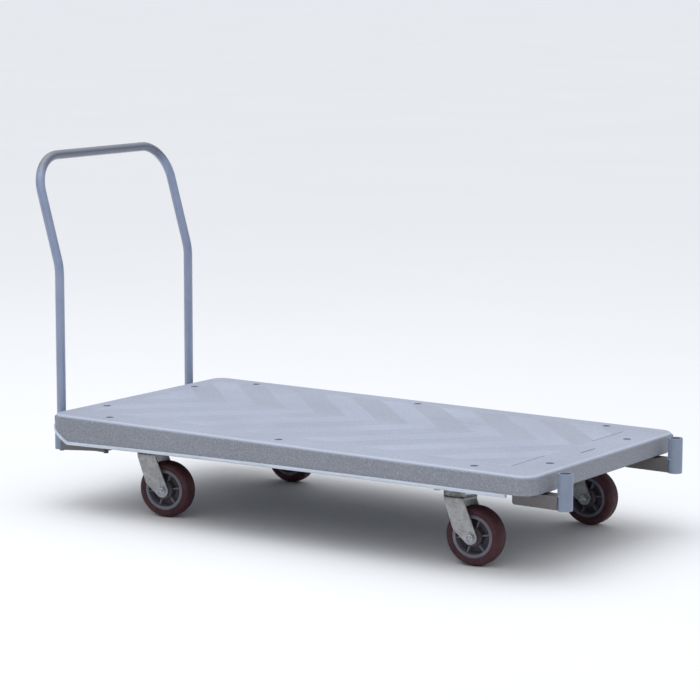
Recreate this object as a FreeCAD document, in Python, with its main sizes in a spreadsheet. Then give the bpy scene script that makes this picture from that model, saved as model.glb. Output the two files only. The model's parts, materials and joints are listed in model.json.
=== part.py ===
import FreeCAD, Part
import math
import os

import Sketcher
from FreeCAD import Placement, Rotation, Vector

# Platform cart: a one-piece moulded deck on a steel frame, four swivel casters, and a bent tube
# handle that lifts out of two tube sockets. Two more sockets at the other end can take the handle.
# Frame: the floor is z = 0, +X is the open-socket (front) end, -X the handle end, +Y the left side.
# The origin is on the floor under the middle of the whole cart.

DIMENSIONS = {
    # deck, its top face at deck_height
    "deck_length": 1524, "deck_width": 762, "deck_height": 262, "deck_corner": 42, "deck_edge": 11,
    "deck_skin": 8, "skirt_wall": 8, "rib_depth": 14, "rib_width": 4, "rib_pitch": 120,
    # depth of the side skirt below the deck's top face: behind, in the middle and in front
    "skirt_rear": 71, "skirt_middle": 55.5, "skirt_front": 49, "skirt_rear_end": 30, "skirt_taper": 65,
    "trim_height": 9, "trim_proud": 4, "trim_edge": 2.5, "trim_front": 693, "trim_return": 4,
    # shallow marks moulded in the deck's front margin
    "slot_x": 706, "slot_length": 72, "slot_width": 4, "slot_depth": 3,
    "groove_x": 650, "groove_start": 120, "groove_end": 285, "groove_width": 2.5, "groove_depth": 1.2,
    # steel frame: two rails and two end members, all channels that open upwards
    "channel_width": 120, "channel_wall": 4, "rail_y": 290, "rail_bottom": 200,
    "member_x": 688, "member_bottom": 206, "member_half_length": 350,
    # handle brackets: an arm of square tube under each corner, with a round socket at its end
    "bracket_y": 285, "bracket_height": 36, "arm_width": 38.1, "arm_wall": 3, "arm_round": 7,
    "front_arm": 139, "front_arm_root": 2, "front_arm_end": 2,
    "rear_arm": 169, "rear_arm_root": 0, "rear_arm_end": 10, "arm_flat": 36, "arm_overlap": 7,
    "arm_bolt_edge": 11, "outer_bolt": 40, "access_hole": 8,
    "socket_diameter": 38.1, "socket_bore": 28.6, "socket_length": 92, "socket_floor": 4,
    "front_standoff": 43, "rear_standoff": 38, "spacer_height": 24, "spacer_margin": 9,
    # handle: one inch tube
    "tube_diameter": 25.4, "tube_wall": 2.1, "leg_bottom": 161.4, "knee_height": 650, "knee_radius": 150,
    "handle_setback": 88.5, "handle_top": 949.5, "handle_radius": 100, "plug_flange": 3, "plug_length": 20,
    # casters
    "front_caster_x": 508, "rear_caster_x": -473, "caster_y": 290,
    "plate_length": 114.3, "plate_width": 101.6, "plate_thickness": 6, "plate_corner": 8,
    "plate_bolt_x": 92, "plate_bolt_y": 73,
    "race_radius": 42, "race_inner": 38.05, "race_bottom": 177.5, "race_roof": 188.5,
    "ball_diameter": 9, "ball_ring_radius": 33.5, "ball_count": 20, "ball_height": 183,
    "crown_top": 176, "crown_thickness": 6, "crown_radius": 42, "crown_boss": 28.7, "crown_boss_top": 188,
    "kingpin_radius": 6.35, "pin_clearance": 0.05, "kingpin_head": 11, "kingpin_foot": 161,
    "leg_gap": 62, "leg_thickness": 5.5, "leg_half_width": 27, "leg_shoulder": 166,
    "leg_kink_x": -3, "leg_kink_z": 93, "leg_end_radius": 18, "leg_kink_radius": 22,
    # wheels
    "trail": 44, "wheel_diameter": 152.4, "tread_width": 50, "tread_crown": 0.9, "tread_flat": 24,
    "shoulder_radius": 62, "hub_radius": 55.2, "rim_inner": 46, "rim_width": 47.4,
    "boss_radius": 26, "boss_length": 56, "web_width": 10, "spoke_width": 5, "spoke_depth": 38,
    "bearing_radius": 14, "bearing_length": 61,
    "axle_radius": 6.35, "axle_hole": 6.6, "axle_head": 7.5, "axle_nut_height": 10.5, "axle_flats": 19,
    # fasteners: eight and ten millimetre bolts
    "m8_radius": 4, "m8_hole": 4.4, "m8_flats": 13, "m8_head": 5.5, "m8_nut": 6.5,
    "m10_radius": 5, "m10_hole": 5.5, "m10_flats": 17, "m10_head": 6.4, "m10_nut": 8,
    "recess_radius": 10.5, "recess_depth": 3.5, "button_radius": 9, "button_height": 3, "deck_boss": 13,
    "cap_radius": 6.5, "cap_height": 8, "spare_thread": 3, "stop_thread": 1.5,
}

# Worked-out lengths, as formulas over the driving dimensions.
DERIVED = {
    "rear_reach": "deck_length / 2 + rear_standoff + handle_setback + tube_diameter / 2",
    "front_reach": "deck_length / 2 + front_standoff + socket_diameter / 2",
    "deck_centre": "(rear_reach - front_reach) / 2",
    "axle_height": "wheel_diameter / 2",
    "caster_height": "rail_bottom",
    "bracket_bottom": "member_bottom - bracket_height",
    "frame_top": "deck_height - deck_skin - rib_depth",
    "front_socket_x": "deck_length / 2 + front_standoff",
    "rear_socket_x": "deck_length / 2 + rear_standoff",
    "leg_outside": "leg_gap / 2 + leg_thickness",
}

# (x, y) of the deck's bolts on its left half, measured from its middle. The right half has the same.
MEMBER_BOLTS = [(710, 197), (-710, 197)]
RAIL_BOLTS = [(574, 332), (-24, 329), (-588, 332)]

# name, row on the X axis, side (+1 left, -1 right), angle by which the caster trails at rest
CASTERS = [
    ("front_left", "front_caster_x", 1, 1.7),
    ("front_right", "front_caster_x", -1, 6.9),
    ("rear_left", "rear_caster_x", 1, 0.0),
    ("rear_right", "rear_caster_x", -1, 11.6),
]
SPOKES = 6
SPOKE_PHASE = 9.0

doc = FreeCAD.newDocument("platform_cart")
sheet = doc.addObject("Spreadsheet::Sheet", "dims")


def fill_sheet():
    row = 1
    for alias, value in DIMENSIONS.items():
        sheet.set("A%d" % row, alias)
        sheet.set("B%d" % row, str(value))
        sheet.setAlias("B%d" % row, alias)
        row += 1
    for alias, formula in DERIVED.items():
        sheet.set("A%d" % row, alias)
        sheet.set("B%d" % row, "=" + formula)
        sheet.setAlias("B%d" % row, alias)
        row += 1
    doc.recompute()


def over_sheet(formula):
    """The formula with every sheet name written as dims.name."""
    words = []
    word = ""
    for letter in formula + " ":
        if letter.isalnum() or letter == "_":
            word += letter
            continue
        known = word in DIMENSIONS or word in DERIVED
        words.append("dims." + word if known else word)
        words.append(letter)
        word = ""
    return "".join(words).strip()


def value(formula):
    return float(sheet.evalExpression(str(formula)))


def bind(obj, prop, formula):
    """Sets a property of an object by a formula over the sheet."""
    obj.setExpression(prop, over_sheet(str(formula)))


# ---------------------------------------------------------------- helpers: bodies and sketches

nodes = []


def node(obj, name):
    """Marks an object as a sub-part: its label names its file."""
    obj.Label = name
    nodes.append(obj)
    return obj


def new_body(name, x="0", y="0", z="0", turn=0.0):
    body = doc.addObject("PartDesign::Body", name)
    body.Placement = Placement(Vector(0, 0, 0), Rotation(Vector(0, 0, 1), turn))
    for axis, formula in (("x", x), ("y", y), ("z", z)):
        bind(body, "Placement.Base." + axis, formula)
    return node(body, name)


def new_sketch(body, plane, name, offset="0"):
    """A sketch on one of the body's origin planes, moved along the plane's normal."""
    sketch = body.newObject("Sketcher::SketchObject", body.Name + "_" + name)
    origin_plane = [item for item in body.Origin.OriginFeatures if item.Role == plane][0]
    sketch.AttachmentSupport = [(origin_plane, "")]
    sketch.MapMode = "FlatFace"
    bind(sketch, "AttachmentOffset.Base.z", offset)
    return sketch


def fix_point(sketch, geometry, position, x, y):
    """Holds a point of a sketch at formulas x and y."""
    for kind, formula in (("DistanceX", x), ("DistanceY", y)):
        constraint = Sketcher.Constraint(kind, -1, 1, geometry, position, value(formula))
        index = sketch.addConstraint(constraint)
        bind(sketch, "Constraints[%d]" % index, formula)


def outline(sketch, corners, through=None):
    """A closed outline. A side whose number is in through is an arc by way of that point."""
    through = through or {}
    first = sketch.GeometryCount
    count = len(corners)
    points = [Vector(value(x), value(y), 0) for x, y in corners]
    ends = []
    for side in range(count):
        start = points[side]
        end = points[(side + 1) % count]
        if side not in through:
            sketch.addGeometry(Part.LineSegment(start, end), False)
            ends.append((1, 2))
            continue
        middle = Vector(value(through[side][0]), value(through[side][1]), 0)
        # a sketch keeps its arcs anticlockwise, so a clockwise side is drawn from its end
        clockwise = (middle - start).cross(end - middle).z < 0
        if clockwise:
            start, end = end, start
        sketch.addGeometry(Part.Arc(start, middle, end), False)
        ends.append((2, 1) if clockwise else (1, 2))
    for side in range(count):
        after = (side + 1) % count
        join = Sketcher.Constraint("Coincident", first + side, ends[side][1], first + after, ends[after][0])
        sketch.addConstraint(join)
        fix_point(sketch, first + side, ends[side][0], *corners[side])
    for side, (x, y) in through.items():
        point = sketch.addGeometry(Part.Point(Vector(value(x), value(y), 0)), True)
        fix_point(sketch, point, 1, x, y)
        sketch.addConstraint(Sketcher.Constraint("PointOnObject", point, 1, first + side))


def rectangle(sketch, x, y, width, depth):
    """A rectangle about (x, y); every argument is a formula."""
    left, right = "(%s) - (%s) / 2" % (x, width), "(%s) + (%s) / 2" % (x, width)
    low, high = "(%s) - (%s) / 2" % (y, depth), "(%s) + (%s) / 2" % (y, depth)
    outline(sketch, [(left, low), (right, low), (right, high), (left, high)])


def rounded_rectangle(sketch, length, width, radius):
    """A rectangle about the origin with round corners; every argument is a formula."""
    far_x, near_x = "(%s) / 2" % length, "((%s) / 2 - (%s))" % (length, radius)
    far_y, near_y = "(%s) / 2" % width, "((%s) / 2 - (%s))" % (width, radius)
    corners, arcs = [], {}
    for sign_x, sign_y in ((1, -1), (1, 1), (-1, 1), (-1, -1)):
        side_x, side_y = "%d * " % sign_x, "%d * " % sign_y
        bend = [(side_x + near_x, side_y + far_y), (side_x + far_x, side_y + near_y)]
        if sign_x * sign_y > 0:
            bend.reverse()
        arcs[len(corners)] = ("%s(%s + sqrt(0.5) * (%s))" % (side_x, near_x, radius),
                              "%s(%s + sqrt(0.5) * (%s))" % (side_y, near_y, radius))
        corners += bend
    outline(sketch, corners, arcs)


def circle(sketch, x, y, radius):
    centre = Vector(value(x), value(y), 0)
    index = sketch.addGeometry(Part.Circle(centre, Vector(0, 0, 1), value(radius)), False)
    fix_point(sketch, index, 3, x, y)
    size = sketch.addConstraint(Sketcher.Constraint("Radius", index, value(radius)))
    bind(sketch, "Constraints[%d]" % size, radius)


def settle(feature):
    """Recomputes, and stops if the feature failed."""
    doc.recompute()
    if "Invalid" in feature.State or "Error" in feature.State:
        raise RuntimeError("%s failed: %s" % (feature.Name, feature.getStatusString()))
    return feature


def add_pad(body, sketch, length, backwards=False, both_ways=False):
    pad = body.newObject("PartDesign::Pad", sketch.Name + "_pad")
    pad.Profile = sketch
    bind(pad, "Length", length)
    pad.Reversed = backwards
    pad.Midplane = both_ways
    return settle(pad)


def add_pocket(body, sketch, depth=None, backwards=False, both_ways=False):
    """Cuts to a depth, or right through both ways when no depth is given."""
    before = body.Shape.Volume
    pocket = body.newObject("PartDesign::Pocket", sketch.Name + "_cut")
    pocket.Profile = sketch
    pocket.Reversed = backwards
    if depth is None:
        pocket.Type = 1
        pocket.Midplane = True
    else:
        pocket.Midplane = both_ways
        bind(pocket, "Length", depth)
    settle(pocket)
    if body.Shape.Volume > before - 1e-3:
        raise RuntimeError(sketch.Name + " cuts nothing")
    return pocket


def add_turning(body, sketch):
    """A solid of revolution about the sketch's vertical axis."""
    turning = body.newObject("PartDesign::Revolution", sketch.Name + "_turn")
    turning.Profile = sketch
    turning.ReferenceAxis = (sketch, ["V_Axis"])
    turning.Angle = 360
    return settle(turning)


def add_fillet(body, name, radius, chosen):
    """Rounds the edges of the body that chosen(edge) picks out."""
    base = body.Tip
    edges = ["Edge%d" % (i + 1) for i, edge in enumerate(base.Shape.Edges) if chosen(edge)]
    if not edges:
        raise RuntimeError(body.Name + " has no edge for " + name)
    rounding = body.newObject("PartDesign::Fillet", body.Name + "_" + name)
    rounding.Base = (base, edges)
    bind(rounding, "Radius", radius)
    return settle(rounding)


def origin_feature(body, role):
    return [item for item in body.Origin.OriginFeatures if item.Role == role][0]


def add_mirror(body, feature, role):
    mirror = body.newObject("PartDesign::Mirrored", feature.Name + "_mirror")
    mirror.Originals = [feature]
    mirror.MirrorPlane = (origin_feature(body, role), [""])
    body.Tip = mirror
    return settle(mirror)


def add_row(body, feature, role, length, count):
    """Repeats a feature along one of the body's axes."""
    row = body.newObject("PartDesign::LinearPattern", feature.Name + "_row")
    row.Originals = [feature]
    row.Direction = (origin_feature(body, role), [""])
    bind(row, "Length", length)
    row.Occurrences = count
    body.Tip = row
    return settle(row)


def lies_at(edge, axis, place, tolerance=0.01):
    """Whether the whole edge lies in the plane where the axis has that value."""
    low = getattr(edge.BoundBox, axis + "Min")
    high = getattr(edge.BoundBox, axis + "Max")
    return abs(low - place) < tolerance and abs(high - place) < tolerance


def both_sides(points):
    """The points of the left half, and the same ones on the right."""
    return [(x, side * y) for x, y in points for side in (1, -1)]


# ---------------------------------------------------------------- helpers: groups of fasteners

def hexagon(flats, height):
    """A hexagonal block standing on z = 0, with the corners of its top turned off."""
    reach = value(flats) / math.sqrt(3)
    tall = value(height)
    angles = [math.radians(60 * corner) for corner in range(6)]
    corners = [Vector(reach * math.cos(angle), reach * math.sin(angle), 0) for angle in angles]
    block = Part.Face(Part.makePolygon(corners + corners[:1])).extrude(Vector(0, 0, tall))
    crown = Part.makeCone(reach * 1.12 + tall, reach * 0.93, tall)
    return block.common(crown)


def hex_bolt(radius, flats, head, reach):
    """A bolt whose head hangs below z = 0 and whose shank stands up to z = reach."""
    block = hexagon(flats, head).mirror(Vector(0, 0, 0), Vector(0, 0, 1))
    shank = Part.makeCylinder(value(radius), reach + 0.5, Vector(0, 0, -0.5))
    return block.fuse(shank).removeSplitter()


def button_bolt(reach):
    """A bolt with a low domed head above z = 0 and a shank down to z = -reach."""
    wide, high = value("button_radius"), value("button_height")
    ball = (wide * wide + high * high) / (2 * high)
    dome = Part.makeSphere(ball, Vector(0, 0, high - ball)).common(Part.makeCylinder(wide, high))
    shank = Part.makeCylinder(value("m8_radius"), reach + 0.5, Vector(0, 0, -reach))
    return dome.fuse(shank).removeSplitter()


def cap_bolt(reach):
    """A bolt with a plain round head below z = 0 and a shank up to z = reach."""
    radius, tall = value("m8_radius"), value("cap_height")
    head = Part.makeCylinder(value("cap_radius"), tall, Vector(0, 0, -tall))
    socket = Part.makeCylinder(radius * 0.8, tall / 2, Vector(0, 0, -tall))
    shank = Part.makeCylinder(radius, reach + 0.5, Vector(0, 0, -0.5))
    return head.cut(socket).fuse(shank).removeSplitter()


def hex_nut(radius, flats, height):
    bore = Part.makeCylinder(value(radius) + 0.02, value(height) * 3, Vector(0, 0, -value(height)))
    return hexagon(flats, height).cut(bore)


def group(name, placed):
    """One node for a set of like fasteners: separate solids, each at its own place."""
    copies = []
    for shape, x, y, z in placed:
        copy = shape.copy()
        copy.translate(Vector(x, y, z))
        copies.append(copy)
    feature = doc.addObject("Part::Feature", name)
    feature.Shape = Part.makeCompound(copies)
    return node(feature, name)


# ---------------------------------------------------------------- deck and trims

# In the deck's own frame z = 0 is its top face and x = 0 its middle.

def skirt_region(drop, level):
    """The region between the skirt's lower edge, lowered by drop, and a level: corners and arcs."""
    front, back = "deck_length / 2", "-deck_length / 2"
    corners = [
        (front + " + 20", "-skirt_front - " + drop), (front, "-skirt_front - " + drop),
        (back + " + skirt_taper", "-skirt_rear - " + drop), (back, "-skirt_rear_end - " + drop),
        (back + " - 20", "-skirt_rear_end - " + drop), (back + " - 20", level), (front + " + 20", level)]
    return corners, {1: ("0", "-skirt_middle - " + drop)}


def add_deck():
    deck = new_body("deck", x="deck_centre", z="deck_height")
    plan = new_sketch(deck, "XY_Plane", "plan")
    rounded_rectangle(plan, "deck_length", "deck_width", "deck_corner")
    add_pad(deck, plan, "skirt_rear + 5", backwards=True)
    profile = new_sketch(deck, "XZ_Plane", "skirt_line")
    outline(profile, *skirt_region("0", "-skirt_rear - 20"))
    add_pocket(deck, profile)
    add_fillet(deck, "top_edge", "deck_edge", lambda edge: lies_at(edge, "Z", 0))

    hollow = new_sketch(deck, "XY_Plane", "hollow", "-deck_skin")
    rounded_rectangle(hollow, "deck_length - 2 * skirt_wall", "deck_width - 2 * skirt_wall",
                      "deck_corner - skirt_wall")
    add_pocket(deck, hollow, "skirt_rear + 5")

    half_x, half_y = value("deck_length") / 2, value("deck_width") / 2
    pitch = value("rib_pitch")
    lengthwise = new_sketch(deck, "XY_Plane", "long_ribs", "-deck_skin")
    rows = int((half_y - value("skirt_wall")) // pitch)
    first_row = -rows * pitch
    rectangle(lengthwise, "0", "%g" % first_row, "deck_length - skirt_wall", "rib_width")
    rib = add_pad(deck, lengthwise, "rib_depth", backwards=True)
    add_row(deck, rib, "Y_Axis", "%g" % (2 * rows * pitch), 2 * rows + 1)
    crosswise = new_sketch(deck, "XY_Plane", "cross_ribs", "-deck_skin")
    columns = int((half_x - value("skirt_wall")) // pitch)
    first_column = -columns * pitch
    rectangle(crosswise, "%g" % first_column, "0", "rib_width", "deck_width - skirt_wall")
    rib = add_pad(deck, crosswise, "rib_depth", backwards=True)
    add_row(deck, rib, "X_Axis", "%g" % (2 * columns * pitch), 2 * columns + 1)

    bolts = both_sides(MEMBER_BOLTS + RAIL_BOLTS)
    steps = (("bosses", "-deck_skin", "deck_boss"), ("recesses", "0", "recess_radius"),
             ("bolt_holes", "0", "m8_hole"))
    for name, level, radius in steps:
        sketch = new_sketch(deck, "XY_Plane", name, level)
        for x, y in bolts:
            circle(sketch, "%g" % x, "%g" % y, radius)
        if name == "bosses":
            add_pad(deck, sketch, "rib_depth", backwards=True)
        else:
            depth = "recess_depth" if name == "recesses" else "deck_skin + rib_depth + 5"
            add_pocket(deck, sketch, depth)

    slot = new_sketch(deck, "XY_Plane", "slot")
    rectangle(slot, "slot_x", "0", "slot_width", "slot_length")
    add_pocket(deck, slot, "slot_depth")
    grooves = new_sketch(deck, "XY_Plane", "grooves")
    length = "groove_end - groove_start"
    for side in ("", "-"):
        middle = side + "(groove_start + groove_end) / 2"
        rectangle(grooves, "groove_x", middle, "groove_width", length)
    add_pocket(deck, grooves, "groove_depth")


def add_trim(name, side):
    """The light strip under the skirt's lower edge; it wraps round the handle end's corner."""
    trim = new_body(name, x="deck_centre", z="deck_height")
    plan = new_sketch(trim, "XY_Plane", "plan")
    bend_x = "-deck_length / 2 + deck_corner"
    bend_y = "%d * (deck_width / 2 - deck_corner)" % side
    outer, inner = "(deck_corner + trim_proud)", "(deck_corner - skirt_wall)"

    def around(radius, across, along):
        """A point beside the bend's centre, in parts of the radius."""
        return "%s - %s * %s" % (bend_x, across, radius), "%s + %d * %s * %s" % (bend_y, side, along, radius)

    end_y = "%d * (deck_width / 2 - deck_corner - trim_return)" % side
    corners = [
        (around(outer, 1, 0)[0], end_y), around(outer, 1, 0), around(outer, 0, 1),
        ("trim_front", around(outer, 0, 1)[1]), ("trim_front", around(inner, 0, 1)[1]),
        around(inner, 0, 1), around(inner, 1, 0), (around(inner, 1, 0)[0], end_y)]
    outline(plan, corners, {1: around(outer, "sqrt(0.5)", "sqrt(0.5)"),
                            5: around(inner, "sqrt(0.5)", "sqrt(0.5)")})
    add_pad(trim, plan, "skirt_rear + trim_height + 5", backwards=True)
    for part, drop, level in (("over", "0", "20"), ("under", "trim_height", "-skirt_rear - 40")):
        region = new_sketch(trim, "XZ_Plane", part)
        outline(region, *skirt_region(drop, level))
        add_pocket(trim, region)
    outside = side * value("deck_width / 2 + trim_proud")
    add_fillet(trim, "edge", "trim_edge", lambda edge: lies_at(edge, "Y", outside) and edge.Length > 100)


# ---------------------------------------------------------------- steel frame

def channel_outline(sketch, low):
    """A channel that opens upwards, from its web at low to the top of the frame."""
    outer, inner = "channel_width / 2", "(channel_width / 2 - channel_wall)"
    web_top = low + " + channel_wall"
    outline(sketch, [
        ("-" + outer, low), (outer, low), (outer, "frame_top"), (inner, "frame_top"),
        (inner, web_top), ("-" + inner, web_top), ("-" + inner, "frame_top"), ("-" + outer, "frame_top")])


def drill(body, name, points, radius, level="0"):
    """Holes along Z through everything, at the given points of the body."""
    sketch = new_sketch(body, "XY_Plane", name, level)
    for x, y in points:
        circle(sketch, str(x), str(y), radius)
    add_pocket(body, sketch)


def add_rail(name, side):
    """A side rail; the casters and most of the deck's bolts sit in it."""
    rail = new_body(name, x="deck_centre", y="%d * rail_y" % side)
    section = new_sketch(rail, "YZ_Plane", "section")
    channel_outline(section, "rail_bottom")
    add_pad(rail, section, "2 * member_x - channel_width", both_ways=True)
    holes = [("%g" % x, "%d * (%g - rail_y)" % (side, y)) for x, y in RAIL_BOLTS]
    drill(rail, "deck_holes", holes, "m8_hole", "rail_bottom")
    caster_holes = []
    for row in ("front_caster_x", "rear_caster_x"):
        for x in ("+", "-"):
            for y in ("", "-"):
                across = "%d * (caster_y - rail_y) + %splate_bolt_y / 2" % (side, y)
                caster_holes.append(("%s %s plate_bolt_x / 2" % (row, x), across))
    drill(rail, "caster_holes", caster_holes, "m10_hole", "rail_bottom")
    pins = [(row, "%d * (caster_y - rail_y)" % side) for row in ("front_caster_x", "rear_caster_x")]
    drill(rail, "kingpin_holes", pins, "kingpin_head + 1", "rail_bottom")


def bracket_bolt_places(end):
    """X of the two bolts of a bracket, measured from the deck's middle."""
    inner = value("%s_socket_x - %s_arm + arm_bolt_edge" % (end, end))
    return [inner, value("member_x + outer_bolt")]


def is_long_bolt(end, number):
    """Whether a bracket's bolt goes through the whole arm, with its head below."""
    return end == "rear" and number == 0


def add_member(name, end):
    """An end member; it carries the two handle brackets of its end of the cart."""
    sign = 1 if end == "front" else -1
    member = new_body(name, x="deck_centre + %d * member_x" % sign)
    section = new_sketch(member, "XZ_Plane", "section")
    channel_outline(section, "member_bottom")
    add_pad(member, section, "2 * member_half_length", both_ways=True)
    deck_bolts = [(x, y) for x, y in both_sides(MEMBER_BOLTS) if x * sign > 0]
    holes = [("%g - %d * member_x" % (x, sign), "%g" % y) for x, y in deck_bolts]
    for x in bracket_bolt_places(end):
        across = "%d * (%g - member_x)" % (sign, x)
        holes += [(across, "bracket_y"), (across, "-bracket_y")]
    drill(member, "bolt_holes", holes, "m8_hole", "member_bottom")


def arm_outline(sketch, end, inward, root, wall):
    """A bracket's arm from the side, from the formula root to its end, drawn in by a wall thickness."""
    tip = "(%s_arm - %s)" % (end, wall)
    top = "bracket_height - %s" % wall
    low_root, low_tip = "%s_arm_root + %s" % (end, wall), "%s_arm_end + %s" % (end, wall)
    corners = [(root, low_root), (tip, low_tip), (tip, top), (root, top)]
    if value(low_root) != value(low_tip):
        # the lower edge rises to a flat stretch under the inner bolt
        corners.insert(1, ("(%s_arm - arm_flat)" % end, low_tip))
    outline(sketch, [("%d * %s" % (inward, x), z) for x, z in corners])


def add_bracket(name, end, side):
    """A welded bracket: the socket's axis is the body's own Z, and the arm runs inwards from it."""
    inward = -1 if end == "front" else 1
    place = "deck_centre + %d * %s_socket_x" % (-inward, end)
    drop = "" if end == "front" else " - spacer_height"
    bracket = new_body(name, x=place, y="%d * bracket_y" % side, z="bracket_bottom" + drop)
    arm = new_sketch(bracket, "XZ_Plane", "arm")
    arm_outline(arm, end, inward, "(socket_diameter / 2 - arm_overlap)", "0")
    add_pad(bracket, arm, "arm_width", both_ways=True)
    hollow = new_sketch(bracket, "XZ_Plane", "arm_hollow")
    arm_outline(hollow, end, inward, "(socket_diameter / 2)", "arm_wall")
    add_pocket(bracket, hollow, "arm_width - 2 * arm_wall", both_ways=True)
    tip, low = inward * value(end + "_arm"), value(end + "_arm_end")
    add_fillet(bracket, "arm_corner", "arm_round",
               lambda edge: lies_at(edge, "X", tip) and lies_at(edge, "Z", low))
    tube = new_sketch(bracket, "XY_Plane", "socket")
    circle(tube, "0", "0", "socket_diameter / 2")
    add_pad(bracket, tube, "socket_length")
    bore = new_sketch(bracket, "XY_Plane", "bore", "socket_length")
    circle(bore, "0", "0", "socket_bore / 2")
    add_pocket(bracket, bore, "socket_length - socket_floor")
    places = [("%g" % (inward * (value(end + "_socket_x") - x)), "0") for x in bracket_bolt_places(end)]
    drill(bracket, "bolt_holes", [("0", "0")] + places, "m8_hole")
    openings = new_sketch(bracket, "XY_Plane", "access_holes")
    for number, (x, y) in enumerate(places):
        if not is_long_bolt(end, number):
            circle(openings, x, y, "access_hole")
    add_pocket(bracket, openings, "bracket_height / 2", backwards=True)
    add_fillet(bracket, "mouth", "1", lambda edge: lies_at(edge, "Z", value("socket_length")))


def add_spacers():
    """The blocks that hang the handle's own brackets below the end member."""
    inner, outer = bracket_bolt_places("rear")
    margin, width, height = value("spacer_margin"), value("arm_width"), value("spacer_height")
    block = Part.makeBox(outer - inner + 2 * margin, width, height)
    for x in (inner, outer):
        hole = Part.makeCylinder(value("m8_hole"), height, Vector(outer + margin - x, width / 2, 0))
        block = block.cut(hole)
    x = value("deck_centre") - outer - margin
    low = value("member_bottom - spacer_height")
    group("bracket_spacers", [(block, x, side * value("bracket_y") - width / 2, low) for side in (1, -1)])


# ---------------------------------------------------------------- fasteners of the frame

def add_frame_fasteners():
    middle = value("deck_centre")
    recess = value("deck_height - recess_depth")
    to_rail = recess - value("rail_bottom - m8_nut - spare_thread")
    to_member = recess - value("member_bottom - m8_nut - spare_thread")
    long_bolt, short_bolt = button_bolt(to_rail), button_bolt(to_member)
    placed = [(long_bolt, middle + x, y, recess) for x, y in both_sides(RAIL_BOLTS)]
    placed += [(short_bolt, middle + x, y, recess) for x, y in both_sides(MEMBER_BOLTS)]
    group("deck_bolts", placed)

    nut = hex_nut("m8_radius", "m8_flats", "m8_nut")
    under_rail, under_member = value("rail_bottom - m8_nut"), value("member_bottom - m8_nut")
    nuts = [(nut, middle + x, y, under_rail) for x, y in both_sides(RAIL_BOLTS)]
    nuts += [(nut, middle + x, y, under_member) for x, y in both_sides(MEMBER_BOLTS)]

    # the bolts of the brackets: most have their heads inside the arm, against its upper wall, but
    # the inner bolts of the two handle brackets are long ones with their heads under the arm
    web_top = value("member_bottom + channel_wall")
    floor = value("bracket_bottom")
    drop = value("spacer_height")
    bolts = []
    for end, sign, low in (("front", 1, floor), ("rear", -1, floor - drop)):
        for number, x in enumerate(bracket_bolt_places(end)):
            long = is_long_bolt(end, number)
            start = low + value(end + "_arm_end" if long else "bracket_height - arm_wall")
            reach = web_top + value("m8_nut + spare_thread") - start
            bolt = hex_bolt("m8_radius", "m8_flats", "m8_head", reach) if long else cap_bolt(reach)
            for side in (1, -1):
                bolts.append((bolt, middle + sign * x, side * value("bracket_y"), start))
                nuts.append((nut, middle + sign * x, side * value("bracket_y"), web_top))
    group("bracket_bolts", bolts)

    # a bolt and nut in the floor of each handle socket: the handle's leg stands on them
    stop = hex_bolt("m8_radius", "m8_flats", "m8_head", value("socket_floor + m8_nut + stop_thread"))
    stop_x = value("deck_centre - rear_socket_x")
    stops = [(stop, stop_x, side * value("bracket_y"), floor - drop) for side in (1, -1)]
    group("leg_stop_bolts", stops)
    on_floor = floor - drop + value("socket_floor")
    nuts += [(nut, stop_x, side * value("bracket_y"), on_floor) for side in (1, -1)]
    group("frame_nuts", nuts)

    caster_bolt = hex_bolt("m10_radius", "m10_flats", "m10_head",
                           value("plate_thickness + channel_wall + m10_nut + spare_thread"))
    caster_nut = hex_nut("m10_radius", "m10_flats", "m10_nut")
    bolts, nuts = [], []
    for _, row, side, _ in CASTERS:
        for step_x in (0.5, -0.5):
            for step_y in (0.5, -0.5):
                x = middle + value(row) + step_x * value("plate_bolt_x")
                y = side * value("caster_y") + step_y * value("plate_bolt_y")
                bolts.append((caster_bolt, x, y, value("caster_height - plate_thickness")))
                nuts.append((caster_nut, x, y, value("rail_bottom + channel_wall")))
    group("caster_bolts", bolts)
    group("caster_nuts", nuts)


# ---------------------------------------------------------------- handle

def handle_path():
    """Straight runs joined by tangent arcs: up one leg, back at the knee, across, and down again."""
    x = value("deck_centre - rear_socket_x")
    y = value("bracket_y")
    knee = value("knee_height")
    top = value("handle_top")
    back = x - value("handle_setback")
    points = [Vector(x, -y, value("leg_bottom")), Vector(x, -y, knee), Vector(back, -y, top)]
    points += [Vector(point.x, y, point.z) for point in reversed(points)]
    radii = [value("knee_radius"), value("handle_radius"), value("handle_radius"), value("knee_radius")]
    edges = []
    start = points[0]
    for before, corner, after, radius in zip(points, points[1:], points[2:], radii):
        arriving = (corner - before).normalize()
        leaving = (after - corner).normalize()
        half_turn = arriving.getAngle(leaving) / 2
        cut_back = radius * math.tan(half_turn)
        first = corner - arriving * cut_back
        last = corner + leaving * cut_back
        inward = (leaving - arriving).normalize()
        middle = corner + inward * (radius / math.cos(half_turn) - radius)
        edges.append(Part.LineSegment(start, first).toShape())
        edges.append(Part.Arc(first, middle, last).toShape())
        start = last
    edges.append(Part.LineSegment(start, points[-1]).toShape())
    return Part.Wire(edges)


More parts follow.
